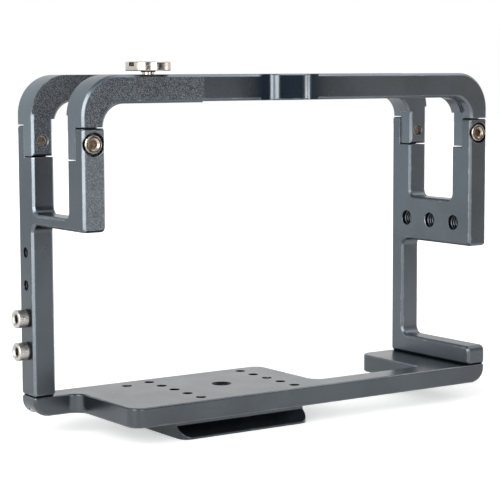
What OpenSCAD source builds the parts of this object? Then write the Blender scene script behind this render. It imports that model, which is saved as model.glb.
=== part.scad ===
// Camera cage: a bolted aluminium frame that closes round a box-shaped camera body.
// A base plate with a dovetail foot carries two forked side plates, and a top frame
// with two parallel bars is lapped and screwed onto the four fork prongs.
// X runs left to right, Y from the lens side to the back, Z up.
// The origin is on the camera screw's axis, on the underside of the dovetail foot.

/* [Cage] */
// Width across the outer faces of the two side plates
cage_w = 194; // [170:0.5:240]
// Depth from the front face to the back face
cage_d = 52; // [46:0.5:70]
// Height from the base plate's underside to the top of the top frame
cage_h = 131.4; // [125:0.1:170]
// Thickness of the side plates
side_t = 9.4; // [9:0.05:12]
// Thickness of the top frame's arms
arm_t = 8.9; // [8.8:0.05:9.4]
// Width of the bevel along the milled edges
bevel = 0.95; // [0.3:0.05:1.2]

/* [Base plate] */
// Thickness of the base plate
base_t = 7.6; // [6.5:0.1:10]
// Camera screw axis, measured from the cage's left face
screw_x = 76.1; // [70:0.1:80]
// Left edge of the deck, measured from the cage's left face
deck_l = 19.9; // [14:0.1:26]
// Right edge of the deck, measured from the cage's left face
deck_r = 112.1; // [108:0.1:125]
// Radius of the deck's corners
deck_corner_r = 5.2; // [2:0.1:6]
// Depth of the rail that joins the deck to the right end
rail_d = 11.2; // [9:0.1:16]
// Width of the full-depth right end under the side plate
end_w = 27.5; // [18:0.1:36]
// Radius of the inner corner between the rail and the right end
end_inner_r = 1.5; // [1:0.1:4]
// Radius of the rounded underside at both ends
end_round_r = 6; // [3:0.1:6.2]
// Radius of the camera screw's hole
screw_hole_r = 3.3; // [3.2:0.05:3.6]
// Depth of the countersink at the top of the camera screw's hole
screw_sink = 0.9; // [0.1:0.05:1.2]
// Radius of the camera screw's counterbore in the foot
screw_bore_r = 6.5; // [5:0.1:8]
// Depth of that counterbore
screw_bore_h = 6; // [4:0.1:9]
// Radius of the deck's small threaded holes
grid_hole_r = 2.05; // [1.2:0.05:2.2]
// Depth of the deck's small threaded holes
grid_hole_h = 6; // [3:0.1:6]
// Number of small holes in each row
grid_count = 5; // [2:1:5]
// Distance between neighbouring small holes of a row
grid_pitch = 9.7; // [7:0.1:10.5]
// Distance between the two rows of small holes
grid_span = 44.4; // [30:0.1:50]
// Spare hole near the tab, to the left of the camera screw's axis
spare_x = 33.7; // [30:0.1:42]
// Spare hole, behind the camera screw's axis
spare_y = 17.5; // [10:0.1:18]

/* [Dovetail foot] */
// Length of the foot, along X
foot_l = 60; // [40:0.5:65]
// Width of the foot over its lips, along Y
foot_w = 38; // [36:0.1:42]
// Width of the foot's neck
neck_w = 28.4; // [24:0.1:32]
// Height of the foot below the base plate
foot_h = 8.7; // [8:0.1:12]
// Height of the upright land at the edge of the lips
lip_t = 0.8; // [0.5:0.05:1.5]
// Height of the sloping flank above the lips
flank_h = 4.1; // [3:0.1:5]
// Radius of the foot's corners, seen from below
foot_corner_r = 4; // [1:0.1:8]

/* [Side plates] */
// Depth of the front prongs
prong_d = 12; // [10:0.1:15]
// Depth of the rear prongs
rear_prong_d = 12.4; // [10:0.1:15]
// Thickness of the lap leaves at the tops of the prongs
leaf_t = 5.5; // [5:0.1:6.5]
// Top of the lap leaves, above the base plate's underside
leaf_top = 112.1; // [108:0.1:114]
// Lower end of the top frame's tongues, above the base plate's underside
tongue_end = 100.7; // [96:0.1:102]
// Gap that shows at each end of a lap
lap_gap = 0.45; // [0.1:0.05:0.6]
// Bevel along the tops of the lap leaves
leaf_bevel = 0.5; // [0.2:0.05:0.9]
// Bevel along the seam between a leaf and a tongue
seam_bevel = 0.15; // [0.05:0.05:0.3]
// Height of the ledge where a corner's full thickness ends, above the base plate's underside
ledge_z = 114.7; // [113.5:0.1:117]
// Floor of the left fork's slot, above the base plate's underside
left_floor = 78.8; // [76:0.1:88]
// Underside of the left crossbar
left_under = 74.4; // [62:0.1:75]
// Depth of the left plate's lower post
left_post_d = 11; // [9.5:0.1:14]
// Floor of the right fork's slot
right_floor = 77.5; // [76:0.1:88]
// Underside of the right crossbar
right_under = 58.5; // [50:0.1:64]
// Depth of the right plate's lower post
right_post_d = 7.7; // [6.5:0.1:14]
// Top of the right plate's foot
right_foot_top = 15.7; // [14:0.1:22]
// Radius of the slots' floor corners
slot_r = 3; // [1.5:0.1:5]
// Radius between the crossbars and the lower posts
post_r = 3; // [1.5:0.1:5]
// Radius between the right post and its foot
foot_fillet_r = 3.6; // [1.5:0.1:6]
// Radius of the foot's upper front edge
foot_nose_r = 2.2; // [1.6:0.1:4]
// Radius of the prongs' rounded lower edge
prong_round_r = 2.2; // [1:0.1:4]

/* [Accessory holes] */
// Radius of the right crossbar's threaded holes
wide_hole_r = 3.2; // [2.9:0.05:3.4]
// Distance between them
wide_pitch = 15.4; // [12:0.1:16]
// Number of them
wide_count = 3; // [1:1:3]
// Lowest threaded hole of the left post, above the base plate's underside
post_hole_z = 25.4; // [24:0.1:28]
// Distance between the left post's threaded holes
post_pitch = 12.75; // [9:0.05:14]
// Number of them
post_count = 4; // [2:1:4]

/* [Top frame] */
// Height of the top bars
bar_h = 10.05; // [8:0.05:11]
// Outer radius of the frame's corners
corner_r = 15; // [8:0.1:20]
// Inner radius of the frame's corners
corner_inner_r = 8.5; // [3:0.1:9]
// Width of the cross webs
web_w = 16; // [8:0.1:24]
// Thickness of the cross webs
web_t = 8; // [4:0.1:8]
// Fillet between the webs and the bars
web_r = 4; // [1:0.1:6]
// Distance from each side face to the nearest edge of its web
web_inset = 46; // [40:0.5:56]
// Length of the deeper stretch at the front bar's left end
deep_l = 52; // [44:0.5:64]
// How much deeper that stretch is
deep_drop = 0.4; // [0.2:0.05:0.6]
// Width of the relief line at the end of that stretch
relief_w = 1; // [0.6:0.1:3]
// Depth of the relief line
relief_h = 0.1; // [0.05:0.05:0.5]
// Centre of the front boss, measured from the cage's left face
boss_x = 91.6; // [85:0.1:110]
// Length of the boss's flat top
boss_flat = 12.6; // [6:0.1:20]
// Length of the boss's sloping flanks
boss_flank = 3; // [2.9:0.1:6]
// Height of the boss above the bar's front face
boss_h = 1.6; // [0.6:0.05:1.6]
// Radius that blends the flanks into the bar
boss_blend_r = 4.5; // [2:0.1:4.8]
// Radius that rounds the flanks into the boss's flat top
boss_round_r = 6; // [2:0.1:6.2]

/* [Socket screws] */
// Radius of the screws' threads
thread_r = 2; // [1.5:0.05:2]
// Radius of the screw heads
head_r = 3.55; // [3:0.05:3.6]
// Height of the screw heads
head_h = 4; // [3:0.05:4.1]
// Bevel of the screw heads' rim
head_rim = 0.3; // [0.1:0.05:0.5]
// Distance across the flats of the hexagon socket
socket_flats = 3; // [2:0.05:3.4]
// Depth of the hexagon socket
socket_h = 2.2; // [1:0.05:2.6]
// Width of the socket's conical mouth
socket_mouth = 0.6; // [0.2:0.05:0.9]
// Distance from a lap screw's tip to the end of its threaded hole
tip_gap = 1.2; // [0.2:0.1:2]
// Width of the countersink at the end of that hole
hole_mouth = 0.35; // [0.1:0.05:0.6]
// Gap round a thread in its threaded hole
thread_fit = 0.05; // [0.02:0.01:0.08]
// Gap round a thread in a plain hole
shank_fit = 0.2; // [0.1:0.05:0.4]
// Gap round a lap screw's head
head_fit = 0.85; // [0.2:0.05:0.9]
// Gap round a foot screw's head
foot_head_fit = 0.3; // [0.1:0.05:0.6]
// How far the lap screws' heads lie below the surface
lap_sink = 0.1; // [0:0.05:0.3]
// How far the foot screws' heads lie below the surface
foot_sink = 1.6; // [0.1:0.05:2]
// Thread length of the foot screws inside the side plates
foot_bite = 6; // [4:0.1:6.5]
// Thread length of the screws in the left post
post_bite = 8; // [5:0.1:8.5]
// Thickness of the washers under those screws
post_washer_t = 0.9; // [0.5:0.05:1.2]
// Radius of those washers
post_washer_r = 3.5; // [3:0.05:4]

/* [Dowel pins] */
// Radius of the dowel pins
pin_r = 1.5; // [1:0.05:2]
// Length of the dowel pins
pin_l = 10; // [6:0.1:10.5]
// Gap round the dowel pins
pin_fit = 0.01; // [0.005:0.005:0.02]
// Distance of the right foot's screws from the middle
foot_screw_y = 13; // [8:0.1:16]
// Distance of the dowel pins from the middle
pin_y = 20.5; // [20:0.1:21.5]

/* [Thumb screw] */
// Axis of the thumb screw, measured from the cage's left face
thumb_x = 31.2; // [30:0.1:36]
// Radius of the disc
disc_r = 8.45; // [8:0.05:12]
// Thickness of the disc
disc_t = 3.35; // [2.5:0.05:5]
// Bevel of the disc's rim
disc_bevel = 0.3; // [0.1:0.05:0.6]
// Gap between the disc and the top bar
disc_gap = 1.4; // [1.2:0.05:3]
// Radius of the neck below the disc
neck_r = 2.2; // [1.9:0.05:2.4]
// Radius of the thread
stud_r = 3.175; // [3:0.025:3.2]
// Length of the neck below the disc
neck_l = 1.9; // [1.7:0.05:4]
// Distance from the tip of the thread to the bar's underside
stud_lift = 0.6; // [0.2:0.1:3]
// Gap round the thumb screw's thread
stud_fit = 0.05; // [0.02:0.01:0.08]
// Width of the coin slot
coin_w = 2.8; // [1.2:0.1:3]
// Depth of the coin slot
coin_h = 1.7; // [0.8:0.1:2]
// Turn of the coin slot about the axis
coin_turn = 12; // [-90:1:90]
// Radius of the collar washer
washer_r = 2.7; // [2.6:0.05:5]
// Thickness of the collar washer
washer_t = 0.5; // [0.3:0.05:0.8]
// Gap between the collar washer and the neck
washer_fit = 0.05; // [0.02:0.01:0.08]

/* [Hidden] */
$fn = 64;

// How far a cut runs past the surface it opens
overrun = 0.3;

// Planes of the cage
x_left = -screw_x;
x_right = cage_w - screw_x;
y_front = -cage_d / 2;
y_back = cage_d / 2;
z_under = foot_h;
z_deck = z_under + base_t;
z_top = z_under + cage_h;
z_bar = z_top - bar_h;

// Planes of the laps
z_leaf = z_under + leaf_top;
z_tongue = z_under + tongue_end;
z_shoulder = z_tongue - lap_gap;
z_arm = z_leaf + lap_gap;
z_lap_screw = (z_leaf + z_tongue) / 2;
z_ledge = z_under + ledge_z;
y_front_leaf = y_front + leaf_t;
y_rear_leaf = y_back - leaf_t;
y_front_prong = y_front + prong_d;
y_rear_prong = y_back - rear_prong_d;

// Mid-planes of the side plates and of the left post
x_left_mid = x_left + side_t / 2;
x_right_mid = x_right - side_t / 2;
y_left_post = y_back - left_post_d;
y_right_post = y_back - right_post_d;
y_post_mid = (y_left_post + y_back) / 2;

// Axis of the thumb screw, in the middle of the front bar
x_thumb = x_left + thumb_x;
y_thumb = y_front + prong_d / 2;
z_disc = z_top + disc_gap;

// Bevels of the laps, as shares of the plates' bevel
leaf_share = leaf_bevel / bevel;
seam_share = seam_bevel / bevel;

// Directions and points of an outline whose corners are [across, up, radius, near bevel, far bevel];
// the bevels are shares of the plate's bevel, for the edge that starts at the corner
function unit(v) = v / norm(v);
function at(pts, i) = pts[(i + len(pts)) % len(pts)];
function spot(pts, i) = [at(pts, i)[0], at(pts, i)[1]];
function back_dir(pts, i) = unit(spot(pts, i - 1) - spot(pts, i));
function on_dir(pts, i) = unit(spot(pts, i + 1) - spot(pts, i));
function half_angle(pts, i) = acos(back_dir(pts, i) * on_dir(pts, i)) / 2;
function reach(pts, i) = at(pts, i)[2] / tan(half_angle(pts, i));
function arc_in(pts, i) = spot(pts, i) + back_dir(pts, i) * reach(pts, i);
function arc_out(pts, i) = spot(pts, i) + on_dir(pts, i) * reach(pts, i);
function arc_mid(pts, i) = spot(pts, i)
    + unit(back_dir(pts, i) + on_dir(pts, i)) * at(pts, i)[2] / sin(half_angle(pts, i));
function is_outer(pts, i) = cross(-back_dir(pts, i), on_dir(pts, i)) > 0;
function heading(v) = atan2(v[1], v[0]);
function pushed(p, c) = p + unit(p - c) * overrun;

// The piece between a corner's arc and the corner itself
module corner_piece(pts, i) {
    c = arc_mid(pts, i);
    difference() {
        polygon([c, pushed(arc_in(pts, i), c), pushed(spot(pts, i), c), pushed(arc_out(pts, i), c)]);
        translate(c)
            circle(r = at(pts, i)[2]);
    }
}

// A slab with the outline's shape and true arcs at its corners
module slab(pts, thickness) {
    difference() {
        union() {
            linear_extrude(thickness)
                polygon([for (p = pts) [p[0], p[1]]]);
            for (i = [0 : len(pts) - 1])
                if (at(pts, i)[2] > 0 && !is_outer(pts, i))
                    linear_extrude(thickness)
                        corner_piece(pts, i);
        }
        for (i = [0 : len(pts) - 1])
            if (at(pts, i)[2] > 0 && is_outer(pts, i))
                translate([0, 0, -overrun])
                    linear_extrude(thickness + 2 * overrun)
                        corner_piece(pts, i);
    }
}

// Cutter for the bevel along one straight edge
module edge_cutter(length, c) {
    translate([-overrun, 0, 0])
        rotate([90, 0, 90])
            linear_extrude(length + 2 * overrun)
                polygon([[-overrun, -overrun], [c + overrun, -overrun], [-overrun, c + overrun]]);
}

// Cutter for the bevel round an outward corner
module outer_arc_cutter(r, c, turn) {
    rotate_extrude(angle = turn)
        polygon([[r + overrun, -overrun], [r - c - overrun, -overrun], [r + overrun, c + overrun]]);
}

// Cutter for the bevel round an inward corner
module inner_arc_cutter(r, c, turn) {
    rotate_extrude(angle = turn)
        polygon([[r - overrun, -overrun], [r + c + overrun, -overrun], [r - overrun, c + overrun]]);
}

// All bevel cutters of one face of an outline; side is the column with their shares
module rim_cutters(pts, c, side) {
    for (i = [0 : len(pts) - 1]) {
        if (at(pts, i)[side] > 0)
            translate(arc_out(pts, i))
                rotate(heading(on_dir(pts, i)))
                    edge_cutter(norm(arc_in(pts, i + 1) - arc_out(pts, i)), c * at(pts, i)[side]);
        if (at(pts, i)[2] > 0 && at(pts, i)[side] > 0 && at(pts, i - 1)[side] > 0) {
            m = arc_mid(pts, i);
            if (is_outer(pts, i))
                translate(m)
                    rotate(heading(arc_in(pts, i) - m))
                        outer_arc_cutter(at(pts, i)[2], c, 180 - 2 * half_angle(pts, i));
            else
                translate(m)
                    rotate(heading(arc_out(pts, i) - m))
                        inner_arc_cutter(at(pts, i)[2], c, 180 - 2 * half_angle(pts, i));
        }
    }
}

// A milled plate: an outline of one thickness, bevelled along both rims
module milled_plate(pts, thickness, c) {
    difference() {
        slab(pts, thickness);
        rim_cutters(pts, c, 3);
        translate([0, 0, thickness])
            mirror([0, 0, 1])
                rim_cutters(pts, c, 4);
    }
}

// Cutter that rounds an edge; the edge lies on the origin, along the third axis
module round_cutter(r, length) {
    translate([0, 0, -overrun])
        linear_extrude(length + 2 * overrun)
            difference() {
                translate([-overrun, -overrun])
                    square(r + overrun);
                translate([r, r])
                    circle(r = r);
            }
}

// Base plate
module base_outline_plate() {
    x_deck_l = x_left + deck_l;
    x_deck_r = x_left + deck_r;
    x_end = x_right - end_w;
    y_rail = y_front + rail_d;
    pts = [
        [x_deck_l, y_front, deck_corner_r, 1, 1],
        [x_right - bevel, y_front, 0, 1, 1],
        [x_right, y_front + bevel, 0, 0, 1],
        [x_right, y_back - bevel, 0, 1, 1],
        [x_right - bevel, y_back, 0, 1, 1],
        [x_end, y_back, deck_corner_r, 1, 1],
        [x_end, y_rail, end_inner_r, 1, 1],
        [x_deck_r, y_rail, deck_corner_r, 1, 1],
        [x_deck_r, y_back, deck_corner_r, 1, 1],
        [x_left + bevel, y_back, 0, 1, 1],
        [x_left, y_back - bevel, 0, 0, 1],
        [x_left, y_left_post + bevel, 0, 1, 1],
        [x_left + bevel, y_left_post, 0, 1, 1],
        [x_deck_l, y_left_post, deck_corner_r, 1, 1]
    ];
    translate([0, 0, z_under])
        milled_plate(pts, base_t, bevel / 2);
}

// Rounded underside of one end, with its bevels; from and to are its front and back faces
module end_rounding(from, to) {
    translate([0, to, 0])
        rotate([90, 0, 0])
            round_cutter(end_round_r, to - from);
    translate([end_round_r, from, end_round_r])
        rotate([-90, 0, 0])
            rotate(90)
                outer_arc_cutter(end_round_r, bevel, 90);
    translate([end_round_r, to, end_round_r])
        rotate([90, 0, 0])
            rotate(180)
                outer_arc_cutter(end_round_r, bevel, 90);
}

module dovetail_foot() {
    intersection() {
        translate([-foot_l / 2, 0, 0])
            rotate([90, 0, 90])
                linear_extrude(foot_l)
                    polygon([
                        [-foot_w / 2, 0], [foot_w / 2, 0], [foot_w / 2, lip_t],
                        [neck_w / 2, lip_t + flank_h], [neck_w / 2, z_under + overrun],
                        [-neck_w / 2, z_under + overrun], [-neck_w / 2, lip_t + flank_h],
                        [-foot_w / 2, lip_t]
                    ]);
        slab([
            [-foot_l / 2, -foot_w / 2, foot_corner_r], [foot_l / 2, -foot_w / 2, foot_corner_r],
            [foot_l / 2, foot_w / 2, foot_corner_r], [-foot_l / 2, foot_w / 2, foot_corner_r]
        ], z_under + overrun);
    }
}

// Counterbored hole for a screw that comes up through the base plate
module foot_screw_hole() {
    translate([0, 0, z_under - overrun])
        cylinder(r = head_r + foot_head_fit, h = foot_sink + head_h + overrun);
    translate([0, 0, z_under])
        cylinder(r = thread_r + shank_fit, h = base_t + overrun);
}

module base_plate() {
    color("slategray")
        difference() {
            union() {
                base_outline_plate();
                dovetail_foot();
            }
            translate([x_left, 0, z_under])
                end_rounding(y_left_post, y_back);
            translate([x_right, 0, z_under])
                mirror([1, 0, 0])
                    end_rounding(y_front, y_back);
            translate([0, 0, -overrun])
                cylinder(r = screw_hole_r, h = z_deck + 2 * overrun);
            translate([0, 0, -overrun])
                cylinder(r = screw_bore_r, h = screw_bore_h + overrun);
            translate([0, 0, z_deck - screw_sink])
                cylinder(r1 = screw_hole_r, r2 = screw_hole_r + screw_sink + overrun,
                    h = screw_sink + overrun);
            for (side = [-1, 1])
                for (i = [0 : grid_count - 1])
                    translate([side * grid_span / 2, (i - (grid_count - 1) / 2) * grid_pitch,
                            z_deck - grid_hole_h])
                        cylinder(r = grid_hole_r, h = grid_hole_h + overrun);
            translate([-spare_x, spare_y, z_deck - grid_hole_h])
                cylinder(r = grid_hole_r, h = grid_hole_h + overrun);
            translate([x_left_mid, y_post_mid, 0])
                foot_screw_hole();
            for (side = [-1, 1])
                translate([x_right_mid, side * foot_screw_y, 0])
                    foot_screw_hole();
            for (side = [-1, 1])
                translate([x_right_mid, side * pin_y, z_deck - pin_l / 2])
                    cylinder(r = pin_r + pin_fit, h = pin_l);
        }
}

// Counterbore and plain hole of one lap leaf, seen from the cage's front face
module leaf_hole() {
    rotate([-90, 0, 0]) {
        translate([0, 0, -overrun])
            cylinder(r = head_r + head_fit, h = lap_sink + head_h + overrun);
        cylinder(r = thread_r + shank_fit, h = leaf_t + overrun);
    }
}

module left_side_plate() {
    floor_z = z_under + left_floor;
    under_z = z_under + left_under;
    pts = [
        [y_front, under_z + bevel, 0, 1, 1],
        [y_front + bevel, under_z, 0, 1, 1],
        [y_left_post, under_z, post_r, 1, 1],
        [y_left_post, z_deck + bevel, 0, 1, 1],
        [y_left_post + bevel, z_deck, 0, 1, 1],
        [y_back - bevel, z_deck, 0, 1, 1],
        [y_back, z_deck + bevel, 0, 1, 1],
        [y_back, z_leaf - leaf_bevel, 0, 1, 1],
        [y_back - leaf_bevel, z_leaf, 0, leaf_share, leaf_share],
        [y_rear_leaf, z_leaf, 0, seam_share, seam_share],
        [y_rear_leaf, z_shoulder, 0, 0, 0],
        [y_rear_prong, z_shoulder, 0, 1, 1],
        [y_rear_prong, floor_z, slot_r, 1, 1],
        [y_front_prong, floor_z, slot_r, 1, 1],
        [y_front_prong, z_shoulder, 0, 0, 0],
        [y_front_leaf, z_shoulder, 0, seam_share, seam_share],
        [y_front_leaf, z_leaf, 0, leaf_share, leaf_share],
        [y_front + leaf_bevel, z_leaf, 0, 1, 1],
        [y_front, z_leaf - leaf_bevel, 0, 1, 1]
    ];
    color("slategray")
        difference() {
            translate([x_left, 0, 0])
                rotate([90, 0, 90])
                    milled_plate(pts, side_t, bevel);
            translate([x_left + side_t, y_left_post - post_r, under_z])
                rotate([90, 0, 0])
                    mirror([1, 0, 0])
                        round_cutter(prong_round_r, left_prong_reach());
            translate([x_left_mid, y_front, z_lap_screw])
                leaf_hole();
            translate([x_left_mid, y_back, z_lap_screw])
                mirror([0, 1, 0])
                    leaf_hole();
            for (i = [0 : post_count - 1])
                translate([x_left - overrun, y_post_mid, z_under + post_hole_z + i * post_pitch])
                    rotate([0, 90, 0])
                        cylinder(r = thread_r + thread_fit, h = side_t + 2 * overrun);
            translate([x_left_mid, y_post_mid, z_deck - overrun])
                cylinder(r = thread_r + thread_fit, h = foot_bite + 2 * overrun);
        }
}

// Length of the left prong's rounded lower edge
function left_prong_reach() = y_left_post - post_r - y_front;

module right_side_plate() {
    floor_z = z_under + right_floor;
    under_z = z_under + right_under;
    foot_z = z_under + right_foot_top;
    pts = [
        [y_front, z_deck + bevel, 0, 1, 1],
        [y_front + bevel, z_deck, 0, 1, 1],
        [y_back - bevel, z_deck, 0, 1, 1],
        [y_back, z_deck + bevel, 0, 1, 1],
        [y_back, z_leaf - leaf_bevel, 0, 1, 1],
        [y_back - leaf_bevel, z_leaf, 0, leaf_share, leaf_share],
        [y_rear_leaf, z_leaf, 0, seam_share, seam_share],
        [y_rear_leaf, z_shoulder, 0, 0, 0],
        [y_rear_prong, z_shoulder, 0, 1, 1],
        [y_rear_prong, floor_z, slot_r, 1, 1],
        [y_front_prong, floor_z, slot_r, 1, 1],
        [y_front_prong, z_shoulder, 0, 0, 0],
        [y_front_leaf, z_shoulder, 0, seam_share, seam_share],
        [y_front_leaf, z_leaf, 0, leaf_share, leaf_share],
        [y_front + leaf_bevel, z_leaf, 0, 1, 1],
        [y_front, z_leaf - leaf_bevel, 0, 1, 1],
        [y_front, under_z + bevel, 0, 1, 1],
        [y_front + bevel, under_z, 0, 1, 1],
        [y_right_post, under_z, post_r, 1, 1],
        [y_right_post, foot_z, foot_fillet_r, 1, 1],
        [y_front, foot_z, foot_nose_r, 1, 1]
    ];
    color("slategray")
        difference() {
            translate([x_right - side_t, 0, 0])
                rotate([90, 0, 90])
                    milled_plate(pts, side_t, bevel);
            translate([x_right, y_right_post - post_r, under_z])
                rotate([90, 0, 0])
                    mirror([1, 0, 0])
                        round_cutter(prong_round_r, y_right_post - post_r - y_front);
            translate([x_right_mid, y_front, z_lap_screw])
                leaf_hole();
            translate([x_right_mid, y_back, z_lap_screw])
                mirror([0, 1, 0])
                    leaf_hole();
            for (i = [0 : wide_count - 1])
                translate([x_right - side_t - overrun, (i - (wide_count - 1) / 2) * wide_pitch,
                        (floor_z + under_z) / 2])
                    rotate([0, 90, 0])
                        cylinder(r = wide_hole_r, h = side_t + 2 * overrun);
            for (side = [-1, 1])
                translate([x_right_mid, side * foot_screw_y, z_deck - overrun])
                    cylinder(r = thread_r + thread_fit, h = foot_bite + 2 * overrun);
            for (side = [-1, 1])
                translate([x_right_mid, side * pin_y, z_deck - overrun])
                    cylinder(r = pin_r + pin_fit, h = pin_l / 2 + overrun);
        }
}

// Outline of a portal; t is the thickness of its arms, and drop deepens its front bar's left end
function portal_outline(t, drop, near, far) = [
    [x_left, z_tongue, 0, near, 0],
    [x_left + t, z_tongue, 0, near, far],
    [x_left + t, z_bar - drop, corner_inner_r, near, far],
    if (drop > 0) [x_left + deep_l, z_bar - drop, 0, 0, 0],
    if (drop > 0) [x_left + deep_l, z_bar, 0, near, far],
    [x_right - t, z_bar, corner_inner_r, near, far],
    [x_right - t, z_tongue, 0, near, 0],
    [x_right, z_tongue, 0, near, far],
    [x_right, z_top, corner_r, 0, far],
    [x_left, z_top, corner_r, near, far]
];

// Cutter for the room that one leaf takes
module leaf_cutter() {
    translate([x_left - overrun, y_front - overrun, z_tongue - overrun])
        cube([bar_h + corner_inner_r, leaf_t + 2 * overrun, z_arm - z_tongue + overrun]);
}

// Cutter for one tongue's inner side, below the ledge, with the bevel of its inner edge
module tongue_cutter(depth) {
    translate([x_left + arm_t, y_front + leaf_t - overrun, z_tongue - overrun])
        cube([bar_h - arm_t + corner_inner_r, depth - leaf_t + 2 * overrun, z_ledge - z_tongue + overrun]);
    translate([x_left + arm_t, y_front + depth, z_tongue])
        rotate([90, 0, 0])
            rotate(90)
                edge_cutter(z_ledge - z_tongue - overrun, bevel);
}

// Left-hand cutters, and the same on the right
module both_arms() {
    children();
    translate([x_left + x_right, 0, 0])
        mirror([1, 0, 0])
            children();
}

// One portal of the top frame, with its front face on the cage's front face: the layer
// that ends over the leaves, and the layer that goes on down as tongues
module portal(depth, drop) {
    difference() {
        translate([0, y_front + leaf_t, 0])
            rotate([90, 0, 0])
                milled_plate(portal_outline(arm_t, drop, 0, 1), leaf_t, bevel);
        both_arms()
            leaf_cutter();
    }
    difference() {
        translate([0, y_front + depth, 0])
            rotate([90, 0, 0])
                milled_plate(portal_outline(bar_h, drop, 1, 0), depth - leaf_t, bevel);
        both_arms()
            tongue_cutter(depth);
    }
}

// Right half of the front bar's boss, from its middle to where its flank blends into the bar
module boss_half() {
    half = boss_flat / 2 + boss_flank;
    skirt = boss_blend_r;
    pts = [
        [-overrun, y_front - boss_h, 0, 1, 1],
        [boss_flat / 2, y_front - boss_h, boss_round_r, 1, 1],
        [half, y_front, boss_blend_r, 0, 0],
        [half + skirt, y_front, 0, 0, 0],
        [half + skirt, y_front + bevel, 0, 0, 0],
        [-overrun, y_front + bevel, 0, 0, 0]
    ];
    translate([0, 0, z_bar])
        milled_plate(pts, bar_h, bevel / 2);
}

// Raised boss on the front bar, with blended flanks
module front_boss() {
    translate([x_left + boss_x, 0, 0])
        for (side = [0, 1])
            mirror([side, 0, 0])
                boss_half();
}

// Web across the two bars, filleted where it meets them
module cross_web(x) {
    a = y_front_prong;
    b = y_rear_prong;
    out = web_r + overrun;
    translate([0, 0, z_top - web_t])
        slab([
            [x - out, a - overrun, 0], [x + web_w + out, a - overrun, 0], [x + web_w + out, a, 0],
            [x + web_w, a, web_r], [x + web_w, b, web_r], [x + web_w + out, b, 0],
            [x + web_w + out, b + overrun, 0], [x - out, b + overrun, 0], [x - out, b, 0],
            [x, b, web_r], [x, a, web_r], [x - out, a, 0]
        ], web_t);
}

// Threaded hole of a lap, with a countersink where it opens into the fork
module tongue_hole(depth) {
    hole_r = thread_r + thread_fit;
    cylinder(r = hole_r, h = depth + overrun);
    translate([0, 0, depth - hole_mouth])
        cylinder(r1 = hole_r, r2 = hole_r + hole_mouth + overrun, h = hole_mouth + overrun);
}

module top_frame() {
    color("slategray")
        difference() {
            union() {
                portal(prong_d, deep_drop);
                mirror([0, 1, 0])
                    portal(rear_prong_d, 0);
                front_boss();
                cross_web(x_left + web_inset);
                cross_web(x_right - web_inset - web_w);
            }
            translate([x_left + deep_l - relief_w, y_front, z_bar - deep_drop - overrun])
                linear_extrude(bar_h + deep_drop + 2 * overrun)
                    polygon([[0, -overrun], [relief_w + overrun, -overrun], [0, relief_h]]);
            translate([x_thumb, y_thumb, z_bar - deep_drop - overrun])
                cylinder(r = stud_r + stud_fit, h = bar_h + deep_drop + 2 * overrun);
            for (x = [x_left_mid, x_right_mid]) {
                translate([x, y_front, z_lap_screw])
                    rotate([-90, 0, 0])
                        tongue_hole(prong_d);
                translate([x, y_back, z_lap_screw])
                    rotate([90, 0, 0])
                        tongue_hole(rear_prong_d);
            }
        }
}

// Socket screw: its head stands on the origin plane and its thread runs up
module socket_screw(bite) {
    corner = socket_flats / sqrt(3);
    difference() {
        union() {
            translate([0, 0, -head_h])
                cylinder(r1 = head_r - head_rim, r2 = head_r, h = head_rim);
            translate([0, 0, head_rim - head_h])
                cylinder(r = head_r, h = head_h - head_rim);
            cylinder(r = thread_r, h = bite);
        }
        translate([0, 0, -head_h - overrun])
            cylinder(r = corner, h = socket_h + overrun, $fn = 6);
        translate([0, 0, -head_h - overrun])
            cylinder(r1 = corner + socket_mouth + overrun, r2 = corner, h = socket_mouth + overrun);
    }
}

// Lap screw at a side plate's mid-plane, seen from the cage's front face
module lap_screw(x, depth) {
    seat = lap_sink + head_h;
    translate([x, y_front + seat, z_lap_screw])
        rotate([-90, 0, 0])
            socket_screw(depth - seat - tip_gap);
}

module front_left_lap_screw() {
    color("silver")
        lap_screw(x_left_mid, prong_d);
}

module rear_left_lap_screw() {
    color("silver")
        mirror([0, 1, 0])
            lap_screw(x_left_mid, rear_prong_d);
}

module front_right_lap_screw() {
    color("silver")
        lap_screw(x_right_mid, prong_d);
}

module rear_right_lap_screw() {
    color("silver")
        mirror([0, 1, 0])
            lap_screw(x_right_mid, rear_prong_d);
}

// Screw in one of the left post's threaded holes, counted from the lowest
module post_screw(i) {
    translate([x_left - post_washer_t, y_post_mid, z_under + post_hole_z + i * post_pitch])
        rotate([0, 90, 0])
            socket_screw(post_washer_t + post_bite);
}

module upper_post_screw() {
    color("silver")
        post_screw(1);
}

module lower_post_screw() {
    color("silver")
        post_screw(0);
}

// Washer under a screw of the left post
module post_washer(i) {
    translate([x_left - post_washer_t, y_post_mid, z_under + post_hole_z + i * post_pitch])
        rotate([0, 90, 0])
            difference() {
                cylinder(r = post_washer_r, h = post_washer_t);
                translate([0, 0, -overrun])
                    cylinder(r = thread_r + shank_fit, h = post_washer_t + 2 * overrun);
            }
}

module upper_post_washer() {
    color("dimgray")
        post_washer(1);
}

module lower_post_washer() {
    color("dimgray")
        post_washer(0);
}

// Screw that comes up through the base plate into a side plate
module foot_screw(x, y) {
    seat = foot_sink + head_h;
    translate([x, y, z_under + seat])
        socket_screw(base_t - seat + foot_bite);
}

module left_foot_screw() {
    color("silver")
        foot_screw(x_left_mid, y_post_mid);
}

module front_foot_screw() {
    color("silver")
        foot_screw(x_right_mid, -foot_screw_y);
}

module rear_foot_screw() {
    color("silver")
        foot_screw(x_right_mid, foot_screw_y);
}

// Dowel pin between the base plate and the right side plate
module dowel_pin(y) {
    translate([x_right_mid, y, z_deck - pin_l / 2])
        cylinder(r = pin_r, h = pin_l);
}

module front_dowel_pin() {
    color("gainsboro")
        dowel_pin(-pin_y);
}

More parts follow.
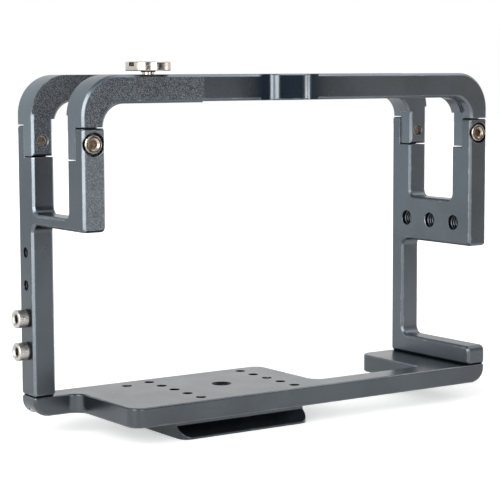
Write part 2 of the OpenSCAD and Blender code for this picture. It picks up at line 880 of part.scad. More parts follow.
module rear_dowel_pin() {
    color("gainsboro")
        dowel_pin(pin_y);
}

// Thumb screw: slotted disc, neck and thread in one turned piece
module thumb_screw() {
    color("lightgray")
        translate([x_thumb, y_thumb, 0])
            difference() {
                rotate_extrude()
                    polygon([
                        [0, z_bar + stud_lift], [stud_r, z_bar + stud_lift], [stud_r, z_disc - neck_l],
                        [neck_r, z_disc - neck_l], [neck_r, z_disc], [disc_r - disc_bevel, z_disc],
                        [disc_r, z_disc + disc_bevel], [disc_r, z_disc + disc_t - disc_bevel],
                        [disc_r - disc_bevel, z_disc + disc_t], [0, z_disc + disc_t]
                    ]);
                rotate(coin_turn)
                    translate([-disc_r - overrun, -coin_w / 2, z_disc + disc_t - coin_h])
                        cube([2 * disc_r + 2 * overrun, coin_w, coin_h + overrun]);
            }
}

// Collar washer that rides on the neck, right under the disc
module collar_washer() {
    color("dimgray")
        translate([x_thumb, y_thumb, z_disc - washer_t])
            difference() {
                cylinder(r = washer_r, h = washer_t);
                translate([0, 0, -overrun])
                    cylinder(r = neck_r + washer_fit, h = washer_t + 2 * overrun);
            }
}

base_plate();
left_side_plate();
right_side_plate();
top_frame();
front_left_lap_screw();
rear_left_lap_screw();
front_right_lap_screw();
rear_right_lap_screw();
upper_post_screw();
lower_post_screw();
upper_post_washer();
lower_post_washer();
left_foot_screw();
front_foot_screw();
rear_foot_screw();
front_dowel_pin();
rear_dowel_pin();
thumb_screw();
collar_washer();
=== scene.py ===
import math

import bmesh
import bpy
from mathutils import Matrix, Vector


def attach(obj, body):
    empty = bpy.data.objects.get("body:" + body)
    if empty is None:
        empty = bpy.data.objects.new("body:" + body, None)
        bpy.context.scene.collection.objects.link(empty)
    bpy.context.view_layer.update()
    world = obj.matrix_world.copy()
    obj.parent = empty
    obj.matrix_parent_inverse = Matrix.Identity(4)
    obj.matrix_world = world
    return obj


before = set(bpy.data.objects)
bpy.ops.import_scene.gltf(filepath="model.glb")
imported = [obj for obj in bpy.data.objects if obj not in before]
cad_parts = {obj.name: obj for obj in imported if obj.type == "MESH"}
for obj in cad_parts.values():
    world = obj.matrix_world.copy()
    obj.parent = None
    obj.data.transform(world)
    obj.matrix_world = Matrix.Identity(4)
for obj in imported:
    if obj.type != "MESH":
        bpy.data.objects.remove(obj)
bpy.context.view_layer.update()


# The view. A camera with a long lens stands to the left of the cage's front,
# about 0.68 m away, and looks slightly down on the deck.

camera_data = bpy.data.cameras.new("camera")
camera_data.lens = 123.105
camera_data.sensor_width = 36
camera_data.clip_end = 30
camera = bpy.data.objects.new("camera", camera_data)
bpy.context.scene.collection.objects.link(camera)
camera_right = Vector((0.82584349, -0.56388782, -0.00361377))
camera_up = Vector((0.06180492, 0.08414292, 0.99453513))
camera_back = Vector((-0.56050217, -0.82155371, 0.10433993))
camera_turn = Matrix((camera_right, camera_up, camera_back)).transposed().to_4x4()
camera.matrix_world = Matrix.Translation((-0.3727128, -0.5670384, 0.1414268)) @ camera_turn
bpy.context.scene.camera = camera
bpy.context.scene.view_settings.view_transform = "Standard"


# The studio. A white table under a white sky, two softboxes in front of the
# cage, and the walls, window, ceiling and skylight that only its metal mirrors.

def linear(code):
    """A hex colour as the linear RGBA that a node socket takes."""
    parts = [int(code[start:start + 2], 16) / 255 for start in (1, 3, 5)]
    return [part / 12.92 if part <= 0.04045 else ((part + 0.055) / 1.055) ** 2.4 for part in parts] + [1.0]


def scaled(code, share):
    """A hex colour as linear RGBA, made lighter or darker by a share."""
    return [channel * share for channel in linear(code)[:3]] + [1.0]


def grey(level):
    """A grey of this linear level as RGBA."""
    return (level, level, level, 1)


def add(tree, kind, sockets=None, ramp=None, **settings):
    """One node: its settings, its values or links by socket, and a ramp's stops."""
    node = tree.nodes.new("ShaderNode" + kind)
    for name, value in settings.items():
        setattr(node, name, value)
    for socket, value in (sockets or {}).items():
        if isinstance(value, bpy.types.NodeSocket):
            tree.links.new(value, node.inputs[socket])
        else:
            node.inputs[socket].default_value = value
    if ramp:
        stops = node.color_ramp.elements
        while len(stops) < len(ramp):
            stops.new(0.5)
        for stop, (position, colour) in zip(stops, ramp):
            stop.position = position
            stop.color = colour
    return node


def empty_material(name):
    """A material whose node tree is empty."""
    material = bpy.data.materials.new(name)
    material.use_nodes = True
    material.node_tree.nodes.clear()
    return material


def seen_directly(tree):
    """1 for rays from the camera, from a mirror or through glass, 0 for light that falls on the part."""
    path = add(tree, "LightPath")
    camera_or_mirror = add(tree, "Math", {0: path.outputs["Is Camera Ray"], 1: path.outputs["Is Glossy Ray"]},
                           operation="MAXIMUM")
    return add(tree, "Math", {0: camera_or_mirror.outputs[0], 1: path.outputs["Is Transmission Ray"]},
               operation="MAXIMUM").outputs[0]


# The sky is white to the eye, and half as strong where it lights the cage.
SKY_LIGHT = 0.50
world = bpy.data.worlds.new("white_sky")
bpy.context.scene.world = world
world.use_nodes = True
sky_tree = world.node_tree
sky_tree.nodes.clear()
sky_strength = add(sky_tree, "MapRange", {"Value": seen_directly(sky_tree),
                                          "To Min": SKY_LIGHT, "To Max": 1.0})
sky = add(sky_tree, "Background", {"Color": grey(1), "Strength": sky_strength.outputs[0]})
add(sky_tree, "OutputWorld", {"Surface": sky.outputs[0]})

# White laminate: matt, almost white, with the faint mottle of its paper.
laminate = empty_material("white_matt_laminate")
tree = laminate.node_tree
place = add(tree, "TexCoord")
mottle = add(tree, "TexNoise", {"Vector": place.outputs["Object"], "Scale": 1 / 0.025, "Detail": 2.0})
tint = add(tree, "ValToRGB", {"Fac": mottle.outputs["Fac"]},
           ramp=[(0.3, linear("#f1f1f0")), (0.7, linear("#f6f6f6"))])
paper = add(tree, "BsdfDiffuse", {"Color": tint.outputs[0], "Roughness": 0.4})

# The table fades into the white background: from 0.15 m to 0.9 m away it glows more and more.
NEAR_GLOW, FAR_GLOW = 0.42, 0.85
reach = add(tree, "VectorMath", {0: place.outputs["Object"]}, operation="LENGTH")
fade = add(tree, "MapRange", {"Value": reach.outputs["Value"], "From Min": 0.15, "From Max": 0.9,
                              "To Min": NEAR_GLOW, "To Max": FAR_GLOW})

# Only the camera sees the whole glow. The cage's metal mirrors less of it.
MIRRORED_GLOW = 0.7
path = add(tree, "LightPath")
seen = add(tree, "Math", {0: path.outputs["Is Glossy Ray"], 1: MIRRORED_GLOW,
                          2: path.outputs["Is Camera Ray"]}, operation="MULTIPLY_ADD")
glow_level = add(tree, "Math", {0: seen.outputs[0], 1: fade.outputs[0]}, operation="MULTIPLY")
glow = add(tree, "Emission", {"Color": grey(1), "Strength": glow_level.outputs[0]})
surface = add(tree, "AddShader", {0: paper.outputs[0], 1: glow.outputs[0]})
add(tree, "OutputMaterial", {"Surface": surface.outputs[0]})

TABLE_REACH = 3.0
corners = [(-TABLE_REACH, -TABLE_REACH, 0), (TABLE_REACH, -TABLE_REACH, 0),
           (TABLE_REACH, TABLE_REACH, 0), (-TABLE_REACH, TABLE_REACH, 0)]
table_mesh = bpy.data.meshes.new("table_top")
table_mesh.from_pydata(corners, [], [(0, 1, 2, 3)])
table_mesh.materials.append(laminate)
table = bpy.data.objects.new("table_top", table_mesh)
bpy.context.scene.collection.objects.link(table)

CAGE_MIDDLE = Vector((0.021, 0.0, 0.075))
# The way from the cage to the camera, in degrees from the cage's right end.
VIEW_HEADING = -124.3


def heading(turned, lift):
    """Direction from the cage, turned from the camera towards the picture's right, in degrees."""
    around = math.radians(VIEW_HEADING + turned)
    rise = math.radians(lift)
    return Vector((math.cos(around) * math.cos(rise), math.sin(around) * math.cos(rise), math.sin(rise)))


def softbox(name, turned, lift, width, height, distance, radiance):
    """A flat lamp that faces the cage; its watts follow from how bright its cloth looks."""
    data = bpy.data.lights.new(name, "AREA")
    data.shape = "RECTANGLE"
    data.size = width
    data.size_y = height
    data.energy = radiance * math.pi * width * height
    lamp = bpy.data.objects.new(name, data)
    lamp.location = CAGE_MIDDLE + heading(turned, lift) * distance
    lamp.rotation_euler = (-heading(turned, lift)).to_track_quat("-Z", "Y").to_euler()
    lamp.visible_camera = False
    bpy.context.scene.collection.objects.link(lamp)


# Turn and lift in degrees, then width, height and distance in metres, and brightness.
softbox("left_softbox", -29.5, 20, 0.71, 1.10, 1.2, 4.6)
softbox("right_softbox", 31.5, 18, 0.74, 1.10, 1.2, 2.6)


def screen(name, turned, lift, distance, colour, strength):
    """A curved studio screen that only mirrors show, between two turns and two lifts in degrees."""
    steps = 12
    points = []
    faces = []
    for column in range(steps + 1):
        for row in range(steps + 1):
            turned_here = turned[0] + (turned[1] - turned[0]) * column / steps
            lift_here = lift[0] + (lift[1] - lift[0]) * row / steps
            points.append(CAGE_MIDDLE + heading(turned_here, lift_here) * distance)
    for column in range(steps):
        for row in range(steps):
            first = column * (steps + 1) + row
            faces.append((first, first + 1, first + steps + 2, first + steps + 1))
    mesh = bpy.data.meshes.new(name)
    mesh.from_pydata(points, [], faces)

    # Backdrop cloth: a soft glow with slow lighter patches.
    cloth = empty_material(name + "_cloth")
    tree = cloth.node_tree
    place = add(tree, "TexCoord")
    weave = add(tree, "TexNoise", {"Vector": place.outputs["Object"], "Scale": 12.0})
    dye = add(tree, "ValToRGB", {"Fac": weave.outputs["Fac"]},
              ramp=[(0.3, linear(colour)), (0.7, scaled(colour, 1.12))])
    shine = add(tree, "Emission", {"Color": dye.outputs[0], "Strength": strength})
    add(tree, "OutputMaterial", {"Surface": shine.outputs[0]})
    mesh.materials.append(cloth)

    piece = bpy.data.objects.new(name, mesh)
    piece.visible_camera = False
    piece.visible_diffuse = False
    piece.visible_shadow = False
    bpy.context.scene.collection.objects.link(piece)


# Turns and lifts in degrees, distance in metres, colour and brightness.
screen("room_behind_camera", (-13, 15), (-8, 50), 1.5, "#2a323a", 1.0)
screen("dark_screen", (38, 68), (-4.3, 60), 0.4, "#454c54", 1.0)
screen("beige_wall", (68, 91), (-10.5, 60), 0.4, "#a09b97", 1.0)
screen("window_strip", (97, 121), (-6, 1.5), 1.5, "#ffffff", 5.5)
screen("pale_wall", (-150, -78), (-8.5, 42), 0.5, "#e9f2f6", 1.13)
screen("grey_ceiling", (-150, 80), (40, 85), 1.6, "#b6bec7", 1.0)
screen("skylight", (92, 140), (42, 72), 1.5, "#e6ebf2", 2.4)


# Base plate. A milled 7.6 mm aluminium plate with a dovetail foot, bead-blasted
# and anodised gunmetal grey. Everything else is screwed onto it from below.

def inside(tree, place, zones):
    """1 in the block that the zones bound and 0 outside it, or 0 where there are no zones.
    A zone is an axis, its low and high end, and how far the ends fade, in metres."""
    share = 1.0 if zones else 0.0
    for along, low, high, fade in zones:
        way = add(tree, "SeparateXYZ", {0: place.outputs["Object"]}).outputs[along]
        above = add(tree, "MapRange", {"Value": way, "From Min": low - fade, "From Max": low})
        below = add(tree, "MapRange", {"Value": way, "From Min": high, "From Max": high + fade,
                                       "To Min": 1.0, "To Max": 0.0})
        between = add(tree, "Math", {0: above.outputs[0], 1: below.outputs[0]}, operation="MULTIPLY")
        share = add(tree, "Math", {0: between.outputs[0], 1: share}, operation="MULTIPLY").outputs[0]
    return share


# Sizes of the finish's patterns in metres: slow drift of the dye, grain of the
# blasting, chips along the edges, smears of handling. The real grain is about
# 0.2 mm; it is drawn at 0.3 mm so that it doesn't average out.
DYE_DRIFT = 0.030
BLASTING_GRAIN = 0.00030
EDGE_CHIP = 0.005
HAND_SMEAR = 0.018

# How much duller or smoother than the satin finish each kind of surface is.
COARSE_ROUGHER = 0.17
BEVEL_ROUGHER = -0.03
BOSS_ROUGHER = -0.15
SATIN_SPREAD = 0.03

# Painted shade on the walls and mouths of holes: their colour is scaled down to this share.
HOLE_SHADE_SHARE = 0.25


def anodised_aluminium(name, thin_way, coarse=(), polished=(), holes=(), satin_finish=0.29,
                       tone_level=1.0, coarse_dye_and_light=0.72, coarse_grain=1.0, bevel_light_share=1.25,
                       wear=0.6, edge_round=0.00045):
    """Gunmetal anodised aluminium: a dark metal with a soft blue-grey reflection,
    the grain of the bead blasting, and bare metal where an edge was knocked.
    thin_way is the plate's thickness axis, which tells its flat faces from its bevels.
    coarse, polished and holes are zones: of a rougher blasting, of a finer one whose flat
    front is also painted darker and bluer, a painted reflection, and of holes whose walls
    and mouths get painted shade. satin_finish is the roughness of the fine blasting.
    tone_level scales the dye, and coarse_dye_and_light the tone of the coarse zones: their
    own dye, and on the left plate's prongs a painted light. coarse_grain says how much the
    coarse blasting sparkles, and bevel_light_share how much lighter the bevels are painted,
    a painted highlight. wear is how much dye an edge has lost, and edge_round how far the
    tumbled edges are rounded, in metres."""
    material = empty_material(name)
    tree = material.node_tree
    place = add(tree, "TexCoord")

    # Bevels were cut by a finer tool: they are 45 degrees off the flat faces.
    facing = add(tree, "VectorMath", {0: place.outputs["Normal"]}, operation="ABSOLUTE")
    split = add(tree, "SeparateXYZ", {0: facing.outputs[0]})
    bevel = add(tree, "ValToRGB", {"Fac": split.outputs[thin_way]},
                ramp=[(0.25, grey(0)), (0.45, grey(1)), (0.90, grey(1)), (0.985, grey(0))])
    front = add(tree, "MapRange", {"Value": split.outputs["Y"], "From Min": 0.80, "From Max": 0.95})

    # Blasting: 0 is the fine finish and 1 the coarse one, which is only on flat faces at
    # the front and the back.
    blasted = add(tree, "Math", {0: front.outputs[0], 1: inside(tree, place, coarse)},
                  operation="MULTIPLY")
    gloss_and_shade_zone = inside(tree, place, polished)

    # Dye: a slow drift of tone, and a fine grain that is stronger in the coarse blasting.
    drift = add(tree, "TexNoise", {"Vector": place.outputs["Object"], "Scale": 1 / DYE_DRIFT,
                                   "Detail": 3.0})
    grain = add(tree, "TexNoise", {"Vector": place.outputs["Object"], "Scale": 1 / BLASTING_GRAIN,
                                   "Detail": 2.0, "Roughness": 0.7})
    dye = add(tree, "ValToRGB", {"Fac": drift.outputs["Fac"]},
              ramp=[(0.35, linear("#61666b")), (0.65, linear("#6a7075"))])
    # Coarse grains sparkle: most are a little darker than the fine finish, a few much lighter.
    sparkle = add(tree, "ValToRGB", {"Fac": grain.outputs["Fac"]},
                  ramp=[(0.36, grey(0.16)), (0.46, grey(0.30)), (0.54, (0.52, 0.51, 0.52, 1)),
                        (0.63, grey(1))])
    spark = add(tree, "Math", {0: sparkle.outputs[0], 1: 2.2}, operation="MULTIPLY")
    calm = add(tree, "MapRange", {"Value": grain.outputs["Fac"], "From Min": 0.3, "From Max": 0.7,
                                  "To Min": 0.86, "To Max": 1.14})
    sparkling = add(tree, "Math", {0: blasted.outputs[0], 1: coarse_grain}, operation="MULTIPLY")
    fleck = add(tree, "Mix", {"Factor": sparkling.outputs[0], "A": calm.outputs[0], "B": spark.outputs[0]},
                data_type="FLOAT")
    # The coarse zones' tone is their own darker dye on the top frame, and a painted light on the left plate's
    # prongs.
    blasted_dye_and_light = add(tree, "MapRange", {"Value": blasted.outputs[0],
                                          "To Min": tone_level, "To Max": coarse_dye_and_light})
    flat_tone = add(tree, "Math", {0: fleck.outputs[0], 1: blasted_dye_and_light.outputs[0]}, operation="MULTIPLY")
    # Bevels are painted lighter: a painted highlight for the light that their slope catches.
    painted_bevel_light = add(tree, "MapRange", {"Value": bevel.outputs[0], "To Min": 1.0, "To Max": bevel_light_share})
    tone = add(tree, "Math", {0: flat_tone.outputs[0], 1: painted_bevel_light.outputs[0]}, operation="MULTIPLY")
    # The walls and mouths of holes get painted shade.
    if holes:
        sides = add(tree, "MapRange", {"Value": split.outputs[thin_way], "From Min": 0.85, "From Max": 0.75})
        walls = add(tree, "Math", {0: sides.outputs[0], 1: inside(tree, place, holes)},
                    operation="MULTIPLY")
        painted_hole_shade = add(tree, "MapRange", {"Value": walls.outputs[0], "To Min": 1.0, "To Max": HOLE_SHADE_SHARE})
        tone = add(tree, "Math", {0: tone.outputs[0], 1: painted_hole_shade.outputs[0]}, operation="MULTIPLY")
    dyed = add(tree, "VectorMath", {0: dye.outputs[0], "Scale": tone.outputs[0]}, operation="SCALE")
    # The flat front of the boss is painted darker and bluer: a painted reflection of the dark room that it
    # faces.
    flat_front = add(tree, "MapRange", {"Value": split.outputs["Y"], "From Min": 0.985, "From Max": 0.999})
    painted_boss_reflection = add(tree, "Math", {0: flat_front.outputs[0], 1: gloss_and_shade_zone}, operation="MULTIPLY")
    painted_boss_blue = add(tree, "ValToRGB", {"Fac": painted_boss_reflection.outputs[0]},
                ramp=[(0.5, grey(1)), (1.0, (0.50, 0.69, 0.84, 1))])
    tinted = add(tree, "VectorMath", {0: dyed.outputs[0], 1: painted_boss_blue.outputs[0]}, operation="MULTIPLY")

    # Wear: where two faces meet, the dye is rubbed off in short broken lengths.
    soft = add(tree, "Bevel", {"Radius": edge_round}, samples=8)
    shape = add(tree, "NewGeometry")
    meet = add(tree, "VectorMath", {0: soft.outputs[0], 1: shape.outputs["Normal"]}, operation="DOT_PRODUCT")
    edge = add(tree, "MapRange", {"Value": meet.outputs["Value"], "From Min": 0.999, "From Max": 0.95})
    chips = add(tree, "TexNoise", {"Vector": place.outputs["Object"], "Scale": 1 / EDGE_CHIP,
                                   "Detail": 5.0})
    knocked = add(tree, "MapRange", {"Value": chips.outputs["Fac"], "From Min": 0.54, "From Max": 0.70,
                                     "To Max": wear})
    worn = add(tree, "Math", {0: edge.outputs[0], 1: knocked.outputs[0]}, operation="MULTIPLY")
    colour = add(tree, "Mix", {"Factor": worn.outputs[0], "A": tinted.outputs[0], "B": linear("#c9ced3")},
                 data_type="RGBA")

    # Gloss: the coarse blasting is dull, the fine one satin, the bevels and the boss smoother.
    smear = add(tree, "TexNoise", {"Vector": place.outputs["Object"], "Scale": 1 / HAND_SMEAR,
                                   "Detail": 4.0})
    satin = add(tree, "MapRange", {"Value": smear.outputs["Fac"], "From Min": 0.3, "From Max": 0.7,
                                   "To Min": satin_finish - SATIN_SPREAD,
                                   "To Max": satin_finish + SATIN_SPREAD})
    dulled = add(tree, "Math", {0: blasted.outputs[0], 1: COARSE_ROUGHER, 2: satin.outputs[0]},
                 operation="MULTIPLY_ADD")
    cut = add(tree, "Math", {0: bevel.outputs[0], 1: BEVEL_ROUGHER, 2: dulled.outputs[0]},
              operation="MULTIPLY_ADD")
    roughness = add(tree, "Math", {0: gloss_and_shade_zone, 1: BOSS_ROUGHER, 2: cut.outputs[0]},
                    operation="MULTIPLY_ADD")
    depth = add(tree, "MapRange", {"Value": blasted.outputs[0], "To Min": 0.12, "To Max": 1.0})
    pits = add(tree, "Math", {0: grain.outputs["Fac"], 1: depth.outputs[0]}, operation="MULTIPLY")
    bump = add(tree, "Bump", {"Height": pits.outputs[0], "Normal": soft.outputs[0],
                              "Strength": 0.5, "Distance": 0.00025})
    metal = add(tree, "BsdfPrincipled", {"Base Color": colour.outputs["Result"], "Metallic": 1.0,
                                         "Roughness": roughness.outputs[0], "Normal": bump.outputs[0]})
    add(tree, "OutputMaterial", {"Surface": metal.outputs[0]})
    return material


def dress(node, material):
    """Gives a CAD piece its finish."""
    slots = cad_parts[node].data.materials
    slots.clear()
    slots.append(material)


DECK_HOLE_ZONES = (("X", -0.0365, 0.0265, 0.0005), ("Y", -0.0225, 0.0225, 0.0005),
                   ("Z", 0.0088, 0.0164, 0.0001))
dress("base_plate", anodised_aluminium("blasted_base_aluminium", "Z", holes=DECK_HOLE_ZONES,
                                       satin_finish=0.25, tone_level=0.73))


def thread(name, centre, along, radius, depth, pitch, length, material):
    """The ridge of a tapped thread: a three-sided section on a helix, with its root in the hole's wall."""
    turn_steps = 24
    root_overlap = 0.00004
    half_ridge = pitch * 0.42
    root = radius + root_overlap
    section = [(root, -half_ridge), (root, half_ridge), (radius - depth, 0.0)]
    way = Vector(along)
    side = Vector((0, 0, 1)) if abs(along[2]) < 0.5 else Vector((1, 0, 0))
    across = way.cross(side)
    mesh = bmesh.new()
    rings = []
    for step in range(int((length - pitch) / pitch * turn_steps) + 1):
        angle = 2 * math.pi * step / turn_steps
        out = side * math.cos(angle) + across * math.sin(angle)
        middle = Vector(centre) + way * (pitch * step / turn_steps - length / 2 + pitch / 2)
        rings.append([mesh.verts.new(middle + out * reach + way * shift) for reach, shift in section])
    for low, high in zip(rings, rings[1:]):
        for corner in range(3):
            following = (corner + 1) % 3
            mesh.faces.new((low[corner], low[following], high[following], high[corner]))
    mesh.faces.new(rings[0][::-1])
    mesh.faces.new(rings[-1])
    bmesh.ops.recalc_face_normals(mesh, faces=mesh.faces)
    data = bpy.data.meshes.new(name)
    mesh.to_mesh(data)
    mesh.free()
    data.materials.append(material)
    piece = bpy.data.objects.new(name, data)
    bpy.context.scene.collection.objects.link(piece)
    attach(piece, "cage")


# The deck's tapped holes: two rows of five and one more near the tab. They are
# M4, like the left post's, and their threads are painted darker than the plate, a
# painted shade for the hole's depth. Sizes are in metres, and a thread's radius is that of its bore.
M4_RADIUS, M4_PITCH = 0.00205, 0.0007
DECK_TOP, DECK_HOLE_DEPTH = 0.0163, 0.006
DECK_THREAD_LENGTH = DECK_HOLE_DEPTH - 0.0006
ROW_SIDE, HOLE_STEP = 0.0222, 0.0097
darker_deck_metal = anodised_aluminium("shaded_deck_thread_aluminium", "Z", wear=0.0, tone_level=0.3)
hole_places = [(side * ROW_SIDE, step * HOLE_STEP) for side in (-1, 1) for step in range(-2, 3)]
hole_places.append((-0.0337, 0.0175))
for number, (x, y) in enumerate(hole_places, start=1):
    thread("deck_thread_%d" % number, (x, y, DECK_TOP - DECK_HOLE_DEPTH / 2), (0, 0, 1),
           M4_RADIUS, 0.00032, M4_PITCH, DECK_THREAD_LENGTH, darker_deck_metal)


# Side plates. Two forked plates of the same aluminium stand on the base, held
# by screws and dowel pins. The left plate kept a coarser blasting on its prongs.

# The coarse prong fronts take a tone of 1.05 against the plate's 0.73: they are painted lighter, a painted
# light for the table's bounce on them.
PRONG_FRONTS = (("Y", -0.03, -0.018, 0.001),)
dress("left_side_plate", anodised_aluminium("coarse_side_aluminium", "X", coarse=PRONG_FRONTS,
                                            tone_level=0.73, coarse_dye_and_light=1.05, coarse_grain=0.65,
                                            bevel_light_share=1.8))
CROSSBAR_HOLE_ZONES = (("Y", -0.0192, 0.0192, 0.0003), ("Z", 0.0729, 0.0805, 0.0003))
dress("right_side_plate", anodised_aluminium("blasted_side_aluminium", "X", holes=CROSSBAR_HOLE_ZONES,
                                             satin_finish=0.33, tone_level=0.90, bevel_light_share=1.0,
                                             wear=0.45, edge_round=0.0007))

# Tapped holes: three quarter-inch ones in the right crossbar, and the two M4
# ones of the left post that hold no screw.
LEFT_MIDDLE, RIGHT_MIDDLE, POST_MIDDLE = -0.0714, 0.1132, 0.0205
QUARTER_INCH_RADIUS, QUARTER_INCH_PITCH = 0.0032, 0.00127
# The threads are painted darker than their plates: a painted shade for the inside of the holes.
shaded_hole_metal = anodised_aluminium("shaded_thread_aluminium", "Z", wear=0.0, tone_level=0.55)
for number, y in enumerate((-0.0154, 0.0, 0.0154), start=1):
    thread("right_side_thread_%d" % number, (RIGHT_MIDDLE, y, 0.0767), (1, 0, 0),
           QUARTER_INCH_RADIUS, 0.00055, QUARTER_INCH_PITCH, 0.0086, shaded_hole_metal)
for number, z in enumerate((0.0596, 0.07235), start=1):
    thread("left_post_thread_%d" % number, (LEFT_MIDDLE, POST_MIDDLE, z), (1, 0, 0),
           M4_RADIUS, 0.00035, M4_PITCH, 0.0088, shaded_hole_metal)


# Top frame. Two parallel bars with rounded arms, milled in one piece, lapped
# onto the prongs of the side plates and screwed there. Its left end is blasted
# coarser, and the front of its boss is smoother and painted darker and bluer, a painted reflection.

LEFT_END = (("X", -0.09, -0.0243, 0.0003),)
BOSS_FRONT = (("X", 0.003, 0.0262, 0.012), ("Y", -0.03, -0.0245, 0.0005))
dress("top_frame", anodised_aluminium("blasted_top_aluminium", "Y", coarse=LEFT_END, polished=BOSS_FRONT,
                                      satin_finish=0.34, tone_level=1.12, coarse_dye_and_light=0.78,
                                      bevel_light_share=1.1))


# Socket screws. Stainless M4 cap screws with a hexagon socket: four through
# the laps, two in the left post, and three that hold the side plates.

# Painted shade by radius: a place of 1 in the ramps is 4 mm from the screw's axis, and
# the head ends at 3.55 mm. The socket and the groove by the rim are painted darker, a painted shade for the
# dark that they reflect.
SHADE_RING_REACH = 0.004
NO_PAINTED_SHADE = [(0.0, grey(1)), (1.0, grey(1))]
SOCKET_PAINTED_SHADE = [(0.0, (0.55, 0.50, 0.45, 1)), (0.42, (0.42, 0.38, 0.34, 1)), (0.52, grey(1))]
GROOVE_PAINTED_SHADE = [(0.0, (0.46, 0.38, 0.32, 1)), (0.40, (0.52, 0.43, 0.36, 1)), (0.46, grey(1)),
               (0.58, (0.95, 0.93, 0.90, 1)), (0.64, (0.22, 0.20, 0.18, 1)),
               (0.70, (0.25, 0.23, 0.21, 1)), (0.76, grey(1))]

# Sizes in metres: spots of tarnish, and the lathe's rings, which are about
# 0.1 mm apart on a real head and drawn at 0.45 mm so that they show.
TARNISH_SPOT = 0.0012
LATHE_RING = 0.00045


def stainless_steel(name, colour, roughness, centre, along, knurls=0, shade_rings=GROOVE_PAINTED_SHADE, tarnish=0.62):
    """Turned steel: bright and slightly warm, with fine rings from the lathe round its own axis,
    and straight knurls on a head's side. tarnish is the tone of its darker spots."""
    material = empty_material(name)
    tree = material.node_tree
    place = add(tree, "TexCoord")
    local = add(tree, "VectorMath", {0: place.outputs["Object"], 1: centre}, operation="SUBTRACT")
    split = add(tree, "SeparateXYZ", {0: local.outputs[0]})
    first, second = [split.outputs[way] for way in "XYZ" if way != along]
    angle = add(tree, "Math", {0: first, 1: second}, operation="ARCTAN2")
    flat = add(tree, "CombineXYZ", {0: first, 1: second})
    radius = add(tree, "VectorMath", {0: flat.outputs[0]}, operation="LENGTH")

    # Colour: spots of tarnish, and the painted shade of the socket and the groove.
    spots = add(tree, "TexNoise", {"Vector": place.outputs["Object"], "Scale": 1 / TARNISH_SPOT,
                                   "Detail": 4.0})
    tone = add(tree, "ValToRGB", {"Fac": spots.outputs["Fac"]},
               ramp=[(0.32, scaled(colour, tarnish)), (0.6, linear(colour))])
    place_on_head = add(tree, "MapRange", {"Value": radius.outputs["Value"], "From Max": SHADE_RING_REACH})
    painted_shade = add(tree, "ValToRGB", {"Fac": place_on_head.outputs[0]}, ramp=shade_rings)
    shown = add(tree, "VectorMath", {0: tone.outputs[0], 1: painted_shade.outputs[0]}, operation="MULTIPLY")

    # Gloss: polished between the spots, with the rings and the knurls raised on it.
    rough = add(tree, "MapRange", {"Value": spots.outputs["Fac"], "From Min": 0.3, "From Max": 0.7,
                                   "To Min": roughness - 0.04, "To Max": roughness + 0.08})
    soft = add(tree, "Bevel", {"Radius": 0.00015}, samples=6)
    turn = add(tree, "Math", {0: radius.outputs["Value"], 1: 2 * math.pi / LATHE_RING}, operation="MULTIPLY")
    rings = add(tree, "Math", {0: turn.outputs[0]}, operation="SINE")
    grip = add(tree, "Math", {0: angle.outputs[0], 1: float(knurls)}, operation="MULTIPLY")
    ridges = add(tree, "Math", {0: grip.outputs[0]}, operation="SINE")
    relief = add(tree, "Math", {0: rings.outputs[0], 1: ridges.outputs[0]}, operation="ADD")
    bump = add(tree, "Bump", {"Height": relief.outputs[0], "Normal": soft.outputs[0],
                              "Strength": 0.5 if knurls else 0.2, "Distance": 0.00004})
    metal = add(tree, "BsdfPrincipled", {"Base Color": shown.outputs[0], "Metallic": 1.0,
                                         "Roughness": rough.outputs[0], "Normal": bump.outputs[0]})
    add(tree, "OutputMaterial", {"Surface": metal.outputs[0]})
    return material


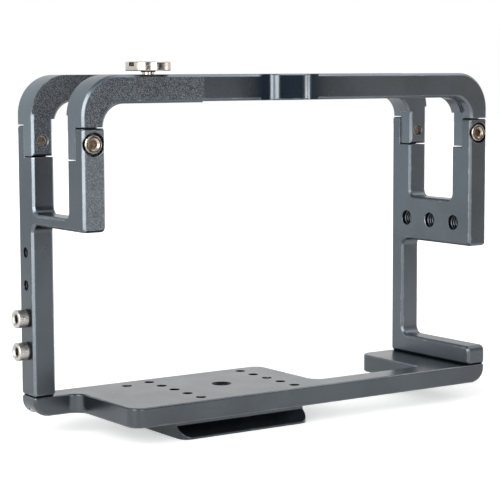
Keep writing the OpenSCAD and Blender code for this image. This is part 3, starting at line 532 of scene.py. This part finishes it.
LAP_SCREW_HEIGHT = 0.1151
for side, x in (("left", LEFT_MIDDLE), ("right", RIGHT_MIDDLE)):
    lap_steel = stainless_steel("turned_lap_screw_steel_" + side, "#c9bfb2", 0.22,
                                (x, 0.0, LAP_SCREW_HEIGHT), "Y")
    for end in ("front", "rear"):
        dress("%s_%s_lap_screw" % (end, side), lap_steel)
for level, z in (("upper", 0.04685), ("lower", 0.0341)):
    dress(level + "_post_screw",
          stainless_steel("knurled_post_screw_steel_" + level, "#cbc7c1", 0.27, (-0.08, POST_MIDDLE, z), "X",
                          knurls=36, shade_rings=SOCKET_PAINTED_SHADE, tarnish=0.88))
for node, x, y in (("left_foot_screw", LEFT_MIDDLE, POST_MIDDLE),
                   ("front_foot_screw", RIGHT_MIDDLE, -0.013), ("rear_foot_screw", RIGHT_MIDDLE, 0.013)):
    dress(node, stainless_steel("turned_" + node + "_steel", "#bdb7b0", 0.24, (x, y, 0.0), "Z"))


# Dowel pins. Two ground steel pins locate the right side plate on the base;
# they are hidden once the cage is screwed together.

for node, y in (("front_dowel_pin", -0.0205), ("rear_dowel_pin", 0.0205)):
    dress(node, stainless_steel("ground_" + node + "_steel", "#a9a9ab", 0.3, (RIGHT_MIDDLE, y, 0.0), "Z",
                                shade_rings=NO_PAINTED_SHADE))


# Thumb screw. A slotted disc turned in one piece with its neck and thread,
# nickel plated and polished: a warm mirror with soft darker spots.

dress("thumb_screw", stainless_steel("polished_nickel_plate", "#c8bfb6", 0.17, (-0.0449, -0.020, 0.1415),
                                     "Z", shade_rings=NO_PAINTED_SHADE, tarnish=0.84))


# Washers. Black nylon rings: the collar on the thumb screw's neck, right under
# the disc, and one under each screw of the left post. The collar's near-black is a painted shade
# for the shade under the disc. Moulded, so almost black and half matt, with a faint grain of 0.6 mm.

nylon = empty_material("black_nylon_and_collar_shade")
tree = nylon.node_tree
place = add(tree, "TexCoord")
mould = add(tree, "TexNoise", {"Vector": place.outputs["Object"], "Scale": 1 / 0.0006, "Detail": 3.0})
shade = add(tree, "ValToRGB", {"Fac": mould.outputs["Fac"]},
            ramp=[(0.3, linear("#161514")), (0.7, linear("#211f1e"))])
bump = add(tree, "Bump", {"Height": mould.outputs["Fac"], "Strength": 0.2, "Distance": 0.00003})
plastic = add(tree, "BsdfPrincipled", {"Base Color": shade.outputs[0], "Roughness": 0.5,
                                       "Normal": bump.outputs[0]})
add(tree, "OutputMaterial", {"Surface": plastic.outputs[0]})
for node in ("collar_washer", "upper_post_washer", "lower_post_washer"):
    dress(node, nylon)
